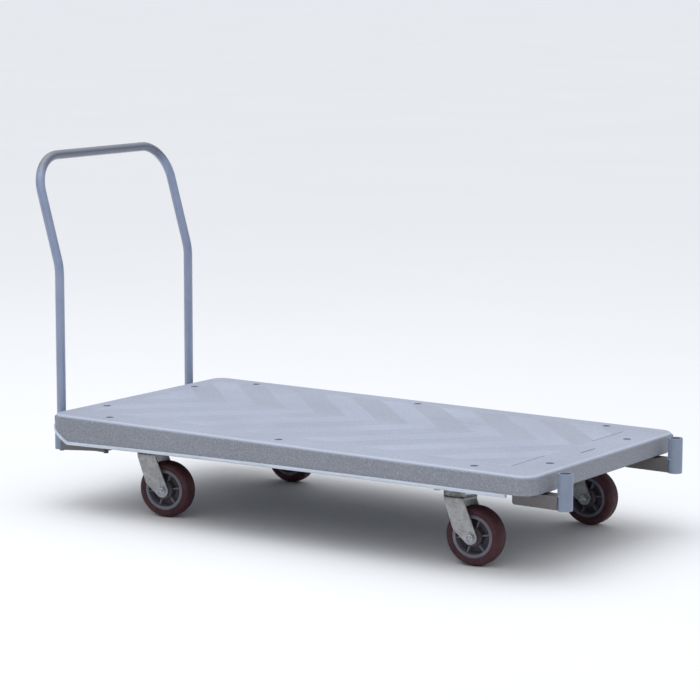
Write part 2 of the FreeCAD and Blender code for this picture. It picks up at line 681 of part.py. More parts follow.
def add_handle():
    spine = doc.addObject("Part::Feature", "handle_spine")
    spine.Shape = handle_path()
    start = spine.Shape.Vertexes[0].Point
    sweeps = []
    for name, radius in (("outside", "tube_diameter / 2"), ("inside", "tube_diameter / 2 - tube_wall")):
        ring = doc.addObject("Part::Circle", "handle_ring_" + name)
        bind(ring, "Radius", radius)
        ring.Placement = Placement(start, Rotation())
        sweep = doc.addObject("Part::Sweep", "handle_" + name)
        sweep.Sections = [ring]
        sweep.Spine = (spine, ["Edge%d" % (i + 1) for i in range(len(spine.Shape.Edges))])
        sweep.Solid = True
        sweep.Frenet = False
        sweeps.append(sweep)
    tube = doc.addObject("Part::Cut", "handle_tube")
    tube.Base, tube.Tool = sweeps
    doc.recompute()
    radius = value("tube_diameter / 2")
    bore = radius - value("tube_wall")
    expected = math.pi * (radius ** 2 - bore ** 2) * spine.Shape.Length
    if abs(tube.Shape.Volume / expected - 1) > 0.01:
        raise RuntimeError("the handle's tube has the wrong volume")
    node(tube, "handle_tube")

    flange = Part.makeCylinder(radius, value("plug_flange"), Vector(0, 0, -value("plug_flange")))
    plug = flange.fuse(Part.makeCylinder(bore - 0.1, value("plug_length"))).removeSplitter()
    group("handle_end_plugs", [(plug, start.x, side * abs(start.y), start.z) for side in (1, -1)])


# ---------------------------------------------------------------- casters

def caster_place(row, side):
    return {"x": "deck_centre + " + row, "y": "%d * caster_y" % side}


def axle_place(row, side, turn):
    """Where the wheel's middle is once the caster has swivelled by turn."""
    angle = math.radians(turn)
    return {"x": "deck_centre + %s + trail * %.12g" % (row, math.cos(angle)),
            "y": "%d * caster_y + trail * %.12g" % (side, math.sin(angle)), "z": "axle_height"}


def add_caster_plate(name, place):
    plate = new_body(name + "_plate", **place)
    plan = new_sketch(plate, "XY_Plane", "plan", "caster_height - plate_thickness")
    rectangle(plan, "0", "0", "plate_length", "plate_width")
    add_pad(plate, plan, "plate_thickness")
    add_fillet(plate, "corners", "plate_corner", lambda edge: edge.BoundBox.ZLength > 1)
    holes = [("%s plate_bolt_x / 2" % x, "%s plate_bolt_y / 2" % y) for x in ("+", "-") for y in ("+", "-")]
    drill(plate, "bolt_holes", [(x.replace("+ ", ""), y.replace("+ ", "")) for x, y in holes], "m10_hole",
          "caster_height")
    seat = new_sketch(plate, "XZ_Plane", "kingpin_seat")
    outline(seat, [("0", "caster_height + 1"), ("0", "caster_height - plate_thickness - 1"),
                   ("kingpin_radius + pin_clearance", "caster_height - plate_thickness - 1"),
                   ("kingpin_radius + pin_clearance", "caster_height - plate_thickness + 1"),
                   ("kingpin_head + pin_clearance", "caster_height"),
                   ("kingpin_head + pin_clearance", "caster_height + 1")])
    groove = plate.newObject("PartDesign::Groove", plate.Name + "_seat_cut")
    groove.Profile = seat
    groove.ReferenceAxis = (seat, ["V_Axis"])
    groove.Angle = 360
    before = plate.Shape.Volume
    doc.recompute()
    if plate.Shape.Volume > before - 1:
        raise RuntimeError("the kingpin's seat cuts nothing")


def add_race(name, place):
    """The pressed cup over the ball ring, which also keeps dirt out of it."""
    race = new_body(name + "_race", **place)
    section = new_sketch(race, "XZ_Plane", "section")
    outline(section, [
        ("kingpin_radius + pin_clearance", "race_roof"), ("race_inner", "race_roof"),
        ("race_inner", "race_bottom"), ("race_radius", "race_bottom"),
        ("race_radius", "caster_height - plate_thickness"),
        ("kingpin_radius + pin_clearance", "caster_height - plate_thickness")])
    add_turning(race, section)
    outside = value("caster_height - plate_thickness")
    add_fillet(race, "shoulder", "1.5",
               lambda edge: lies_at(edge, "Z", outside) and edge.BoundBox.XLength > 60)


def add_balls(name, place):
    ball = Part.makeSphere(value("ball_diameter / 2"))
    count = int(value("ball_count"))
    placed = []
    for number in range(count):
        angle = 2 * math.pi * number / count
        x = value(place["x"]) + value("ball_ring_radius") * math.cos(angle)
        y = value(place["y"]) + value("ball_ring_radius") * math.sin(angle)
        placed.append((ball, x, y, value("ball_height")))
    group(name + "_balls", placed)


def add_kingpin(name, place):
    """The riveted pin: a flush head in the plate, a formed head under the fork's crown."""
    pin = new_body(name + "_kingpin", **place)
    section = new_sketch(pin, "XZ_Plane", "section")
    foot_top = "crown_top - crown_thickness - 0.4"
    outline(section, [
        ("0", "kingpin_foot"), ("kingpin_head - 3", "kingpin_foot"), ("kingpin_head", "kingpin_foot + 3"),
        ("kingpin_head", foot_top), ("kingpin_radius", foot_top),
        ("kingpin_radius", "caster_height - plate_thickness + 1"), ("kingpin_head", "caster_height"),
        ("0", "caster_height")])
    add_turning(pin, section)


def leg_outline(sketch):
    """The fork's leg from the side: straight runs that meet the round end at a tangent."""
    left, right = "-leg_half_width - 1", "leg_half_width - 1"
    centre = Vector(value("trail"), value("axle_height"), 0)
    radius = value("leg_end_radius")
    # where the runs touch the round end, roughly: the tangent constraints settle it
    low_left = centre + Vector(-0.65, -0.76, 0) * radius
    low_right = centre + Vector(0.92, 0.39, 0) * radius
    corners = [Vector(value(right), value("leg_shoulder"), 0), Vector(value(right), value("crown_top"), 0),
               Vector(value(left), value("crown_top"), 0), Vector(value(left), value("leg_shoulder"), 0),
               Vector(value("leg_kink_x"), value("leg_kink_z"), 0)]
    path = [low_right] + corners + [low_left]
    for start, end in zip(path, path[1:]):
        sketch.addGeometry(Part.LineSegment(start, end), False)
    bottom = centre + Vector(0.59, -0.81, 0) * radius
    arc = sketch.addGeometry(Part.Arc(low_left, bottom, low_right), False)
    last = arc - 1
    for line in range(last):
        sketch.addConstraint(Sketcher.Constraint("Coincident", line, 2, line + 1, 1))
    places = [(right, "leg_shoulder"), (right, "crown_top"), (left, "crown_top"), (left, "leg_shoulder"),
              ("leg_kink_x", "leg_kink_z")]
    for line, (x, y) in enumerate(places):
        fix_point(sketch, line, 2, x, y)
    fix_point(sketch, arc, 3, "trail", "axle_height")
    size = sketch.addConstraint(Sketcher.Constraint("Radius", arc, radius))
    bind(sketch, "Constraints[%d]" % size, "leg_end_radius")
    sketch.addConstraint(Sketcher.Constraint("Tangent", last, 2, arc, 1))
    sketch.addConstraint(Sketcher.Constraint("Tangent", 0, 1, arc, 2))


def add_fork(name, place, turn):
    fork = new_body(name + "_fork", turn=turn, **place)
    leg = new_sketch(fork, "XZ_Plane", "leg", "leg_gap / 2")
    leg_outline(leg)
    near_leg = add_pad(fork, leg, "leg_thickness")
    kink_x, kink_z = value("leg_kink_x"), value("leg_kink_z")
    crown = new_sketch(fork, "XY_Plane", "crown", "crown_top - crown_thickness")
    rectangle(crown, "-1", "0", "2 * leg_half_width", "2 * leg_outside")
    add_pad(fork, crown, "crown_thickness")
    add_mirror(fork, near_leg, "XZ_Plane")
    disc = new_sketch(fork, "XY_Plane", "disc", "crown_top - crown_thickness")
    chord = "sqrt(crown_radius ^ 2 - (leg_outside - 1) ^ 2)"
    side = "(leg_outside - 1)"
    outline(disc, [(chord, "-" + side), (chord, side), ("-" + chord, side), ("-" + chord, "-" + side)],
            {0: ("crown_radius", "0"), 2: ("-crown_radius", "0")})
    add_pad(fork, disc, "crown_thickness")
    boss = new_sketch(fork, "XY_Plane", "boss", "crown_top - 1")
    circle(boss, "0", "0", "crown_boss")
    add_pad(fork, boss, "crown_boss_top - crown_top + 1")
    bore = new_sketch(fork, "XY_Plane", "bore", "crown_top")
    circle(bore, "0", "0", "kingpin_radius + pin_clearance")
    add_pocket(fork, bore)
    eye = new_sketch(fork, "XZ_Plane", "axle_holes")
    circle(eye, "trail", "axle_height", "axle_hole")
    add_pocket(fork, eye)
    top, outside = value("crown_top"), value("leg_outside")

    def is_bend(edge):
        along = lies_at(edge, "Z", top) and (lies_at(edge, "Y", outside) or lies_at(edge, "Y", -outside))
        return along and edge.BoundBox.XLength > 40

    def is_kink(edge):
        box = edge.BoundBox
        return abs(box.XMin - kink_x) < 0.01 and abs(box.ZMin - kink_z) < 0.01 and box.XLength < 0.01

    here = fork.Placement
    fork.Placement = Placement()
    add_fillet(fork, "bends", "crown_thickness - 1", is_bend)
    add_fillet(fork, "kinks", "leg_kink_radius", is_kink)
    fork.Placement = here


def add_axle(name, place, turn, side):
    """The axle's bolt and nut; the bolt's head is on the outside of the cart."""
    here = Placement(Vector(value(place["x"]), value(place["y"]), value(place["z"])),
                     Rotation(Vector(0, 0, 1), turn + (0 if side < 0 else 180)))
    outside = value("leg_outside")
    lay = Placement(Vector(0, -outside, 0), Rotation(Vector(1, 0, 0), -90))
    reach = 2 * outside + value("axle_nut_height + spare_thread")
    bolt = hex_bolt("axle_radius", "axle_flats", "axle_head", reach)
    nut = hex_nut("axle_radius", "axle_flats", "axle_nut_height")
    for part, shape, along in (("_axle_bolt", bolt, 0), ("_axle_nut", nut, 2 * outside)):
        feature = doc.addObject("Part::Feature", name + part)
        feature.Shape = shape
        feature.Placement = here.multiply(lay).multiply(Placement(Vector(0, 0, along), Rotation()))
        node(feature, name + part)


def add_wheel(name, place, turn):
    """Hub, bearing and tyre; each turns about its own Y axis."""
    spin = Rotation(Vector(0, 0, 1), turn).multiply(Rotation(Vector(0, 1, 0), -SPOKE_PHASE))
    hub = new_body(name + "_hub", **place)
    section = new_sketch(hub, "XY_Plane", "section")
    half_boss, half_web, half_rim = "boss_length / 2", "web_width / 2", "rim_width / 2"
    upper = [("bearing_radius", half_boss), ("boss_radius", half_boss), ("boss_radius", half_web),
             ("rim_inner", half_web), ("rim_inner", half_rim), ("hub_radius", half_rim)]
    lower = [(x, "-" + y) for x, y in reversed(upper)]
    outline(section, upper + lower)
    add_turning(hub, section)
    rib = new_sketch(hub, "XZ_Plane", "spoke")
    rectangle(rib, "(boss_radius + rim_inner) / 2", "0", "rim_inner - boss_radius + 2", "spoke_width")
    spoke = add_pad(hub, rib, "spoke_depth", both_ways=True)
    ring = hub.newObject("PartDesign::PolarPattern", hub.Name + "_spokes")
    ring.Originals = [spoke]
    ring.Axis = (origin_feature(hub, "Y_Axis"), [""])
    ring.Angle = 360
    ring.Occurrences = SPOKES
    hub.Tip = ring
    settle(ring)

    bearing = new_body(name + "_bearing", **place)
    sleeve = new_sketch(bearing, "XZ_Plane", "section")
    circle(sleeve, "0", "0", "bearing_radius")
    circle(sleeve, "0", "0", "axle_radius + pin_clearance")
    add_pad(bearing, sleeve, "bearing_length", both_ways=True)

    tyre = new_body(name + "_tyre", **place)
    profile = new_sketch(tyre, "XY_Plane", "section")
    side, flat, radius = "tread_width / 2", "tread_flat / 2", "axle_height"
    shoulder = "axle_height - tread_crown"
    bend = ("(shoulder_radius + axle_height) / 2 + 1.7", "tread_width / 2 - 4")
    low = ("(shoulder_radius + axle_height) / 2 + 1.7", "-tread_width / 2 + 4")
    outline(profile, [("hub_radius", "-" + side), ("shoulder_radius", "-" + side), (shoulder, "-" + flat),
                      (shoulder, flat), ("shoulder_radius", side), ("hub_radius", side)],
            {1: low, 2: (radius, "0"), 3: bend})
    add_turning(tyre, profile)
    for body in (hub, bearing, tyre):
        body.Placement = Placement(body.Placement.Base, spin)


def add_casters():
    for name, row, side, turn in CASTERS:
        place = caster_place(row, side)
        axle = axle_place(row, side, turn)
        add_caster_plate(name, place)
        add_race(name, place)
        add_balls(name, place)
        add_kingpin(name, place)
        add_fork(name, place, turn)
        add_axle(name, axle, turn, side)
        add_wheel(name, axle, turn)


# ---------------------------------------------------------------- build, check and write

def build():
    fill_sheet()
    add_deck()
    add_trim("side_trim_left", 1)
    add_trim("side_trim_right", -1)
    add_rail("frame_rail_left", 1)
    add_rail("frame_rail_right", -1)
    add_member("cross_member_front", "front")
    add_member("cross_member_rear", "rear")
    for end in ("front", "rear"):
        for label, side in (("left", 1), ("right", -1)):
            add_bracket("bracket_%s_%s" % (end, label), end, side)
    add_spacers()
    add_frame_fasteners()
    add_handle()
    add_casters()
    doc.recompute()


def check():
    for obj in doc.Objects:
        if "Invalid" in obj.State or "Error" in obj.State:
            raise RuntimeError("%s failed: %s" % (obj.Label, obj.State))
    for obj in nodes:
        if obj.Shape.isNull() or not obj.Shape.isValid():
            raise RuntimeError(obj.Label + " has no valid shape")


def write():
    os.makedirs("parts", exist_ok=True)
    for obj in nodes:
        obj.Shape.exportStep(os.path.join("parts", obj.Label + ".step"))
    print(len(nodes), "sub-parts written")


build()
check()
write()
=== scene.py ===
"""Looks of a moulded platform cart on swivel casters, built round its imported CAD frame.

Everything is in metres, in the frame of the CAD: the floor is z = 0, +X is the open-socket end,
-X the handle end, and the origin is on the floor under the middle of the cart.
"""
import json
import math
import random

import bmesh
import bpy
from mathutils import Matrix, Vector


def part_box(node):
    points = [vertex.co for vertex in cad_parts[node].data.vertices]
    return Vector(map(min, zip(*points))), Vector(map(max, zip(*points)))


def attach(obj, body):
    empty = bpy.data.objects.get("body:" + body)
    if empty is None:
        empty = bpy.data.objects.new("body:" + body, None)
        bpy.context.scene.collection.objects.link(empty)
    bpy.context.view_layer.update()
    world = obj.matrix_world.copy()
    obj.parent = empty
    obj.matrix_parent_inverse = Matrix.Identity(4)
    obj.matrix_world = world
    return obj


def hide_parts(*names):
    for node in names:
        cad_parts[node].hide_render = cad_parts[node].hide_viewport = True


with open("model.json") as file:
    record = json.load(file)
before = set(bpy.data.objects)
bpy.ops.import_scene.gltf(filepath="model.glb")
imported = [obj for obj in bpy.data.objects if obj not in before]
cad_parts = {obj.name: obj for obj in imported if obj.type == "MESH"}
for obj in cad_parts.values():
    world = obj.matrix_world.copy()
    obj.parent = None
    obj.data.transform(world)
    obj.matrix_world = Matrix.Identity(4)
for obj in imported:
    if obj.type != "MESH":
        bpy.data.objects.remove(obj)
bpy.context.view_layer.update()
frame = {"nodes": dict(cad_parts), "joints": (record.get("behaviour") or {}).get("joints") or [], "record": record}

MM = 0.001
CASTERS = ("front_left", "front_right", "rear_left", "rear_right")


def centre_of(node):
    low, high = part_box(node)
    return (Vector(low) + Vector(high)) / 2


def joint_of(name):
    return [joint for joint in frame["joints"] if joint["name"] == name][0]


DECK_X = centre_of("deck").x
DECK_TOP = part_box("deck")[1][2]
SOCKET_RADIUS = 19.05 * MM
SOCKET_Y = centre_of("bracket_front_left").y
SOCKET_X = (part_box("bracket_front_left")[1][0] - SOCKET_RADIUS,
            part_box("bracket_rear_left")[0][0] + SOCKET_RADIUS)
# painted shade on the handle's crossbar comes in over this height and is full this far below its top
CROSSBAR_SHADE_FADE = 0.03
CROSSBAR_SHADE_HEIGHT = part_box("handle_tube")[1][2] - CROSSBAR_SHADE_FADE
# the fork's crown lies this far below the top of its boss, and the painted shade with grease fades out below the
# crown
CROWN_BOSS = 12 * MM
CROWN_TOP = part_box("front_left_fork")[1][2] - CROWN_BOSS
SHADE_AND_GREASE_FADE = 0.012


# ---------------------------------------------------------------- materials: a small node kit

def srgb(red, green, blue):
    """A colour given as 0-255 display values, in the linear values that shaders take."""
    linear = []
    for channel in (red, green, blue):
        part = channel / 255
        linear.append(part / 12.92 if part <= 0.04045 else ((part + 0.055) / 1.055) ** 2.4)
    return (linear[0], linear[1], linear[2], 1.0)


class Paint:
    """One node material: a principled shader whose colour, roughness and bump are built up."""

    def __init__(self, name, roughness=0.5, metallic=0.0, coat=0.0, specular=0.5):
        self.material = bpy.data.materials.new(name)
        self.material.use_nodes = True
        self.tree = self.material.node_tree
        self.shader = self.tree.nodes["Principled BSDF"]
        self.shader.inputs["Roughness"].default_value = roughness
        self.shader.inputs["Metallic"].default_value = metallic
        self.shader.inputs["Coat Weight"].default_value = coat
        self.shader.inputs["Specular IOR Level"].default_value = specular
        self.place = self.node("ShaderNodeTexCoord").outputs["Object"]

    def node(self, kind, **settings):
        made = self.tree.nodes.new(kind)
        for key, setting in settings.items():
            setattr(made, key, setting)
        return made

    def feed(self, socket, source):
        """Connects a socket to another node's output, or sets it to a plain value."""
        if isinstance(source, bpy.types.NodeSocket):
            self.tree.links.new(source, socket)
        else:
            socket.default_value = source

    def math(self, operation, first, second=0.0):
        made = self.node("ShaderNodeMath", operation=operation)
        self.feed(made.inputs[0], first)
        self.feed(made.inputs[1], second)
        return made.outputs[0]

    def product(self, first, *others):
        for other in others:
            first = self.math("MULTIPLY", first, other)
        return first

    def axes(self, place=None):
        made = self.node("ShaderNodeSeparateXYZ")
        self.feed(made.inputs[0], place or self.place)
        return made.outputs["X"], made.outputs["Y"], made.outputs["Z"]

    def stretched(self, scale, turn=(0, 0, 0)):
        made = self.node("ShaderNodeMapping")
        self.feed(made.inputs["Vector"], self.place)
        made.inputs["Scale"].default_value = scale
        made.inputs["Rotation"].default_value = turn
        return made.outputs[0]

    def noise(self, scale, detail=3.0, rough=0.55, place=None):
        made = self.node("ShaderNodeTexNoise")
        self.feed(made.inputs["Vector"], place or self.place)
        made.inputs["Scale"].default_value = scale
        made.inputs["Detail"].default_value = detail
        made.inputs["Roughness"].default_value = rough
        return made.outputs["Fac"]

    def cells(self, scale):
        made = self.node("ShaderNodeTexVoronoi")
        self.feed(made.inputs["Vector"], self.place)
        made.inputs["Scale"].default_value = scale
        return made.outputs["Color"]

    def spread(self, source, low, high, to_low=0.0, to_high=1.0):
        made = self.node("ShaderNodeMapRange")
        self.feed(made.inputs["Value"], source)
        limits = {"From Min": low, "From Max": high, "To Min": to_low, "To Max": to_high}
        for key, number in limits.items():
            made.inputs[key].default_value = number
        return made.outputs[0]

    def mix(self, amount, first, second):
        made = self.node("ShaderNodeMix", data_type="RGBA")
        self.feed(made.inputs["Factor"], amount)
        self.feed(made.inputs["A"], first)
        self.feed(made.inputs["B"], second)
        return made.outputs["Result"]

    def set(self, name, source):
        self.feed(self.shader.inputs[name], source)

    def bump(self, height, distance, strength=1.0):
        made = self.node("ShaderNodeBump")
        made.inputs["Distance"].default_value = distance
        made.inputs["Strength"].default_value = strength
        self.feed(made.inputs["Height"], height)
        if self.shader.inputs["Normal"].is_linked:
            self.feed(made.inputs["Normal"], self.shader.inputs["Normal"].links[0].from_socket)
        self.feed(self.shader.inputs["Normal"], made.outputs[0])


# ---------------------------------------------------------------- materials of the cart

# the chevrons: their pitch, how far one tip stands from the deck's middle, and the line of the tips
CHEVRON_PITCH = 0.202
CHEVRON_TIP = 0.028
CHEVRON_LINE = 0.050
# the fractions of a pitch between which a pale band comes in and goes out
BAND_RISE = (0.46, 0.53)
BAND_FALL = (0.955, 1.0)
# whole pitches that keep the phase above nought all over the deck
SPARE_PITCHES = 20
# the patterned field about the deck's middle, and how softly it ends
FIELD_X = (-0.700, 0.650)
FIELD_Y = (-0.282, 0.315)
FIELD_EDGE = 0.004


def field_mask(paint, x, y):
    """One inside the deck's patterned field, nought in its plain border."""
    inside = 1.0
    for source, (low, high) in ((x, FIELD_X), (y, FIELD_Y)):
        above = paint.spread(source, low - FIELD_EDGE, low + FIELD_EDGE)
        below = paint.spread(source, high - FIELD_EDGE, high + FIELD_EDGE, 1.0, 0.0)
        inside = paint.product(above, below, inside)
    return inside


def chevron_band(paint, along, off_line):
    """One in the pale bands, nought in the plain ones between them."""
    across = paint.math("ABSOLUTE", off_line)
    wobble = paint.spread(paint.noise(9.0, 2.0), 0.3, 0.7, -0.004, 0.004)
    run = paint.math("ADD", paint.math("ADD", along, across), wobble)
    phase = paint.math("ADD", run, SPARE_PITCHES * CHEVRON_PITCH - CHEVRON_TIP)
    phase = paint.math("FRACT", paint.math("DIVIDE", phase, CHEVRON_PITCH))
    rise = paint.spread(phase, *BAND_RISE)
    fall = paint.spread(phase, *BAND_FALL, 1.0, 0.0)
    return paint.product(rise, fall)


def deck_material():
    """Moulded plastic: grained, mottled, with a field of broad pale chevrons on the top."""
    paint = Paint("deck_plastic_grained", specular=0.45)
    x, y, _ = paint.axes()
    along = paint.math("SUBTRACT", x, DECK_X)
    off_line = paint.math("SUBTRACT", y, CHEVRON_LINE)
    field = field_mask(paint, along, y)
    facing = paint.node("ShaderNodeNewGeometry")
    _, _, up = paint.axes(facing.outputs["Normal"])
    top = paint.spread(up, 0.9, 0.99)
    band = paint.product(chevron_band(paint, along, off_line), field, top)

    # the grain runs one way in the pale bands and the other way in the plain ones
    left_grain = paint.noise(1.0, 4.0, 0.6, paint.stretched((900, 90, 300), (0, 0, math.radians(45))))
    right_grain = paint.noise(1.0, 4.0, 0.6, paint.stretched((900, 90, 300), (0, 0, math.radians(-45))))
    grain = paint.mix(band, left_grain, right_grain)
    mottle = paint.noise(140.0, 5.0, 0.65)
    clouds = paint.noise(4.5, 4.0, 0.6)
    speckle = paint.noise(850.0, 2.0, 0.7)
    pebble = paint.noise(330.0, 2.0, 0.6)

    plain = paint.mix(paint.spread(clouds, 0.35, 0.65), srgb(160, 168, 187), srgb(169, 177, 196))
    pale = paint.mix(paint.spread(clouds, 0.35, 0.65), srgb(172, 181, 202), srgb(179, 188, 209))
    # painted shade: on the left of the chevrons' line the plain bands are painted darker, where their grain turns
    # away from the light
    left = paint.product(paint.spread(off_line, 0.0, 0.012), field, top)
    plain = paint.mix(paint.math("MULTIPLY", left, 0.24), plain, srgb(152, 154, 163))
    # the bands stand out more in some places than in others
    uneven = paint.spread(paint.noise(2.6, 2.0), 0.38, 0.62, 0.5, 1.0)
    colour = paint.mix(paint.math("MULTIPLY", band, uneven), plain, pale)
    colour = paint.mix(paint.spread(mottle, 0.35, 0.7, 0.0, 0.36), colour, srgb(146, 151, 165))
    colour = paint.mix(paint.spread(speckle, 0.55, 0.75, 0.0, 0.28), colour, srgb(206, 210, 220))
    streaks = paint.noise(1.0, 5.0, 0.6, paint.stretched((2.2, 60, 60)))
    colour = paint.mix(paint.spread(streaks, 0.58, 0.72, 0.0, 0.18), colour, srgb(134, 140, 156))
    # painted shade: the deck's sides are painted darker than its top, as less light falls on them; the same mask
    # gives the sides more pebbling
    side = paint.math("SUBTRACT", 1.0, paint.spread(up, 0.2, 0.8))
    colour = paint.mix(paint.math("MULTIPLY", side, 0.70), colour, srgb(121, 124, 130))
    pebbled = paint.math("ADD", paint.math("MULTIPLY", side, 0.22), 0.30)
    for far, tone in ((0.72, srgb(104, 108, 120)), (0.28, srgb(184, 186, 190))):
        colour = paint.mix(paint.product(pebbled, paint.spread(pebble, 0.50, far)), colour, tone)
    # painted highlight: the round top edge is painted pale where it catches the light
    edge = paint.math("MULTIPLY", paint.spread(up, 0.40, 0.75), paint.spread(up, 0.93, 0.995, 1.0, 0.0))
    colour = paint.mix(paint.math("MULTIPLY", edge, 0.42), colour, srgb(202, 212, 230))
    paint.set("Base Color", colour)

    rough = paint.spread(mottle, 0.3, 0.7, 0.50, 0.62)
    paint.set("Roughness", paint.math("SUBTRACT", rough, paint.math("MULTIPLY", band, 0.06)))
    paint.bump(grain, 0.0002, 0.6)
    paint.bump(speckle, 0.00022, 0.7)
    paint.bump(pebble, 0.0003, 0.5)
    paint.bump(paint.noise(28.0, 3.0), 0.0006, 0.35)
    return paint.material


def plastic_material(name, colour, worn, roughness, grain=600.0):
    """Smooth moulded plastic: cloudy in tone, with a fine grain."""
    paint = Paint(name, roughness=roughness)
    clouds = paint.noise(14.0, 5.0, 0.6)
    speckle = paint.noise(grain, 2.0, 0.6)
    mixed = paint.mix(paint.spread(clouds, 0.35, 0.7), colour, worn)
    paint.set("Base Color", mixed)
    paint.set("Roughness", paint.spread(clouds, 0.3, 0.7, roughness - 0.06, roughness + 0.08))
    paint.bump(speckle, 0.00008, 0.8)
    return paint.material


def crossbar_painted_shade(paint, colour):
    """Painted shade: the crossbar at the handle's top is painted darker."""
    _, _, z = paint.axes()
    crossbar_shade = paint.spread(z, CROSSBAR_SHADE_HEIGHT - CROSSBAR_SHADE_FADE, CROSSBAR_SHADE_HEIGHT, 0.0, 0.8)
    return paint.mix(crossbar_shade, colour, srgb(88, 92, 106))


def arms_dust_and_shade(paint, colour):
    """The arms welded to the sockets are painted a darker warm grey: dust, and painted shade under the deck."""
    x, y, _ = paint.axes()
    across = paint.math("SUBTRACT", paint.math("ABSOLUTE", y), SOCKET_Y)
    nearest = 1.0
    for socket_x in SOCKET_X:
        along = paint.math("SUBTRACT", x, socket_x)
        square = paint.math("ADD", paint.product(along, along), paint.product(across, across))
        nearest = paint.math("MINIMUM", paint.math("SQRT", square), nearest)
    beyond = paint.spread(nearest, SOCKET_RADIUS + 0.0002, SOCKET_RADIUS + 0.003)
    dust_and_shade = paint.mix(paint.noise(70.0, 5.0, 0.7), srgb(92, 88, 90), srgb(112, 107, 106))
    return paint.mix(beyond, colour, dust_and_shade)


def enamel_material(name, colour, shade, roughness=0.38, coat=0.15, dirt=0.2, tint=None,
                    coat_roughness=0.25):
    """Baked enamel on steel: slight orange peel, faint rubbing marks and dust."""
    paint = Paint(name, roughness=roughness, coat=coat)
    paint.shader.inputs["Coat Roughness"].default_value = coat_roughness
    clouds = paint.noise(11.0, 5.0, 0.6)
    peel = paint.noise(420.0, 2.0, 0.5)
    scuffs = paint.noise(1.0, 6.0, 0.7, paint.stretched((160, 160, 22)))
    mixed = paint.mix(paint.spread(clouds, 0.35, 0.68), colour, shade)
    mixed = paint.mix(paint.spread(scuffs, 0.62, 0.78, 0.0, dirt), mixed, srgb(78, 78, 84))
    if tint:
        mixed = tint(paint, mixed)
    paint.set("Base Color", mixed)
    paint.set("Roughness", paint.spread(scuffs, 0.3, 0.75, roughness - 0.05, roughness + 0.14))
    paint.bump(peel, 0.00007, 0.8)
    paint.bump(paint.noise(60.0, 2.0), 0.00018, 0.4)
    return paint.material


def zinc_material(name, colour, shade, roughness, spangle=55.0, metallic=0.85, shade_and_grease_above=None):
    """Zinc plate: dull metal with a faint spangle, drawing marks and duller patches."""
    paint = Paint(name, roughness=roughness, metallic=metallic)
    flakes = paint.node("ShaderNodeSeparateXYZ")
    paint.feed(flakes.inputs[0], paint.cells(spangle))
    patches = paint.noise(30.0, 5.0, 0.65)
    drawn = paint.noise(1.0, 4.0, 0.6, paint.stretched((90, 90, 900)))
    mixed = paint.mix(paint.spread(patches, 0.35, 0.7), colour, shade)
    mixed = paint.mix(paint.spread(flakes.outputs["X"], 0.0, 1.0, 0.0, 0.24), mixed, srgb(222, 222, 220))
    blotches = paint.noise(150.0, 4.0, 0.7)
    mixed = paint.mix(paint.spread(blotches, 0.48, 0.68, 0.0, 0.55), mixed, srgb(112, 112, 116))
    if shade_and_grease_above:
        # painted shade, with grease, darkens the race above the fork's crown, a recess where shade falls
        _, _, z = paint.axes()
        near_race = paint.spread(z, shade_and_grease_above - SHADE_AND_GREASE_FADE, shade_and_grease_above)
        shade_and_grease = paint.math("ADD", paint.product(near_race, 0.5),
                            paint.spread(blotches, 0.35, 0.7, -0.2, 0.25))
        mixed = paint.mix(paint.product(shade_and_grease, near_race), mixed, srgb(74, 68, 60))
    paint.set("Base Color", mixed)
    dull = paint.spread(patches, 0.3, 0.7, roughness - 0.08, roughness + 0.1)
    glint = paint.spread(flakes.outputs["Y"], 0.0, 1.0, -0.05, 0.05)
    paint.set("Roughness", paint.math("ADD", dull, glint))
    paint.bump(drawn, 0.00005, 0.6)
    paint.bump(paint.noise(240.0, 3.0), 0.00006, 0.6)
    return paint.material


def rubber_material():
    """Dark maroon tread compound, dustier and greyer where it has rolled."""
    paint = Paint("tyre_maroon_rubber", roughness=0.6, specular=0.35)
    clouds = paint.noise(24.0, 5.0, 0.65)
    dust = paint.noise(90.0, 6.0, 0.7)
    mixed = paint.mix(paint.spread(clouds, 0.35, 0.7), srgb(76, 38, 45), srgb(56, 31, 37))
    mixed = paint.mix(paint.spread(dust, 0.52, 0.75, 0.0, 0.35), mixed, srgb(104, 88, 90))
    paint.set("Base Color", mixed)
    paint.set("Roughness", paint.spread(clouds, 0.3, 0.7, 0.5, 0.68))
    paint.bump(paint.noise(500.0, 3.0), 0.0001, 0.7)
    paint.bump(dust, 0.0002, 0.4)
    return paint.material


